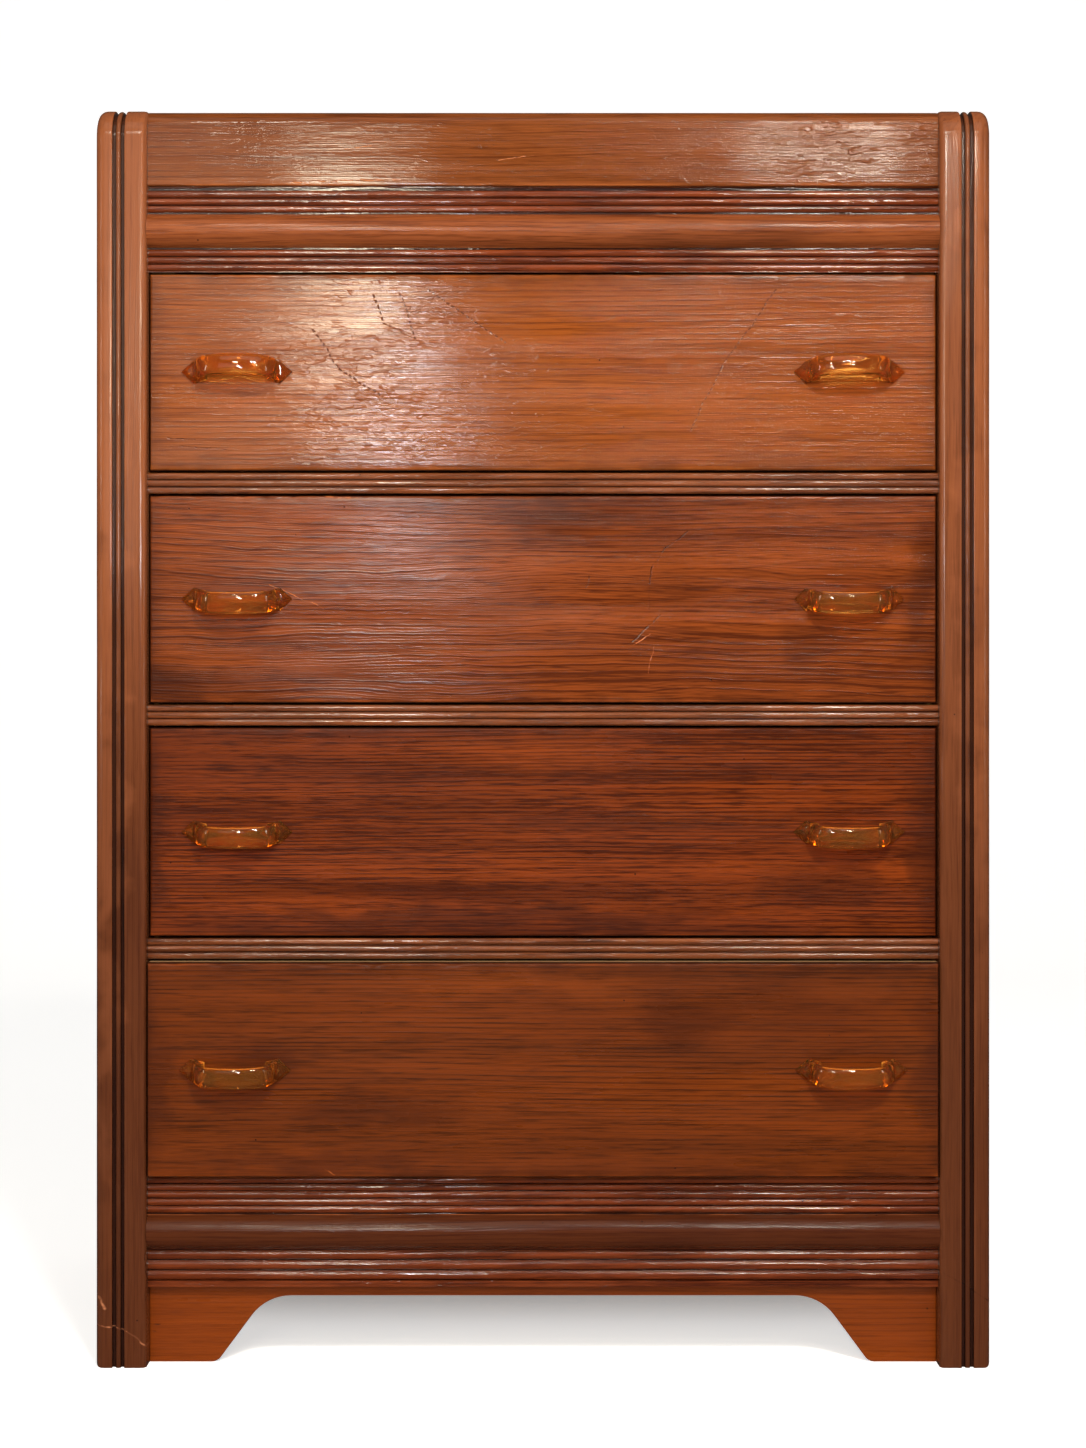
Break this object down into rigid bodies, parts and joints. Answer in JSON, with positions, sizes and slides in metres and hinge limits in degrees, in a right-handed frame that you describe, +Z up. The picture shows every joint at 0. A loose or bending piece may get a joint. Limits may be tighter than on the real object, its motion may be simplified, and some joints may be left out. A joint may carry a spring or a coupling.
{
  "type": "chest of drawers",
  "caption": "Tall fir chest with full-width drawers, reeded mouldings, rounded reeded front posts, a cut-out apron and clear amber bow pulls.",
  "frame": {"origin": "on the floor, under the middle of the whole piece, with its pulls and with the bottom drawer as it stands", "axes": "+Z up, +Y from the drawers' side to the back, +X to the right as seen from the drawers' side"},
  "size_m": [0.813, 0.5, 1.147],
  "materials": {
    "post_fir": "old glossy varnish",
    "side_fir": "old glossy varnish",
    "side_ply": "old glossy varnish",
    "top_fir": "old glossy varnish",
    "top_rail_fir": "old glossy varnish",
    "reed_fir": "old glossy varnish",
    "half_round_fir": "old glossy varnish",
    "apron_fir": "old glossy varnish",
    "divider_fir": "old glossy varnish",
    "drawer_1_fir": "old glossy varnish, crazed",
    "drawer_2_fir": "old glossy varnish",
    "drawer_3_fir": "old glossy varnish",
    "drawer_4_fir": "old glossy varnish, worn along its upper edge",
    "inner_wood": "bare, sawn",
    "drawer_box_wood": "bare, planed",
    "drawer_ply": "bare plywood",
    "back_ply": "bare plywood",
    "amber": "clear cast amber resin, polished"
  },
  "bodies": {
    "case": {"left_front_post": "post_fir", "right_front_post": "post_fir", "left_rear_post": "side_fir", "right_rear_post": "side_fir", "left_side_top_rail": "side_fir", "right_side_top_rail": "side_fir", "left_side_bottom_rail": "side_fir", "right_side_bottom_rail": "side_fir", "left_side_panel": "side_ply", "right_side_panel": "side_ply", "top_panel": "top_fir", "top_front_rail": "top_rail_fir", "upper_frieze_board": "reed_fir", "upper_half_round": "half_round_fir", "lower_frieze_board": "reed_fir", "lower_half_round": "half_round_fir", "apron": "apron_fir", "divider_rail_1": "divider_fir", "divider_rail_2": "divider_fir", "divider_rail_3": "divider_fir", "drawer_runners": "inner_wood", "drawer_guides": "inner_wood", "drawer_kickers": "inner_wood", "drawer_stops": "inner_wood", "corner_blocks": "inner_wood", "back_panel": "back_ply", "rear_top_rail": "inner_wood", "rear_bottom_rail": "inner_wood"},
    "drawer_1": {"drawer_1_front": "drawer_1_fir", "drawer_1_left_side": "drawer_box_wood", "drawer_1_right_side": "drawer_box_wood", "drawer_1_back": "drawer_box_wood", "drawer_1_bottom": "drawer_ply", "drawer_1_left_handle": "amber", "drawer_1_right_handle": "amber"},
    "drawer_2": {"drawer_2_front": "drawer_2_fir", "drawer_2_left_side": "drawer_box_wood", "drawer_2_right_side": "drawer_box_wood", "drawer_2_back": "drawer_box_wood", "drawer_2_bottom": "drawer_ply", "drawer_2_left_handle": "amber", "drawer_2_right_handle": "amber"},
    "drawer_3": {"drawer_3_front": "drawer_3_fir", "drawer_3_left_side": "drawer_box_wood", "drawer_3_right_side": "drawer_box_wood", "drawer_3_back": "drawer_box_wood", "drawer_3_bottom": "drawer_ply", "drawer_3_left_handle": "amber", "drawer_3_right_handle": "amber"},
    "drawer_4": {"drawer_4_front": "drawer_4_fir", "drawer_4_left_side": "drawer_box_wood", "drawer_4_right_side": "drawer_box_wood", "drawer_4_back": "drawer_box_wood", "drawer_4_bottom": "drawer_ply", "drawer_4_left_handle": "amber", "drawer_4_right_handle": "amber"}
  },
  "joints": [
    {"name": "drawer_1_slide", "type": "slide", "parent": "case", "child": "drawer_1", "axis": [0, -1, 0], "range_m": [0, 0.3]},
    {"name": "drawer_2_slide", "type": "slide", "parent": "case", "child": "drawer_2", "axis": [0, -1, 0], "range_m": [0, 0.3]},
    {"name": "drawer_3_slide", "type": "slide", "parent": "case", "child": "drawer_3", "axis": [0, -1, 0], "range_m": [0, 0.3]},
    {"name": "drawer_4_slide", "type": "slide", "parent": "case", "child": "drawer_4", "axis": [0, -1, 0], "range_m": [-0.014, 0.286]}
  ]
}
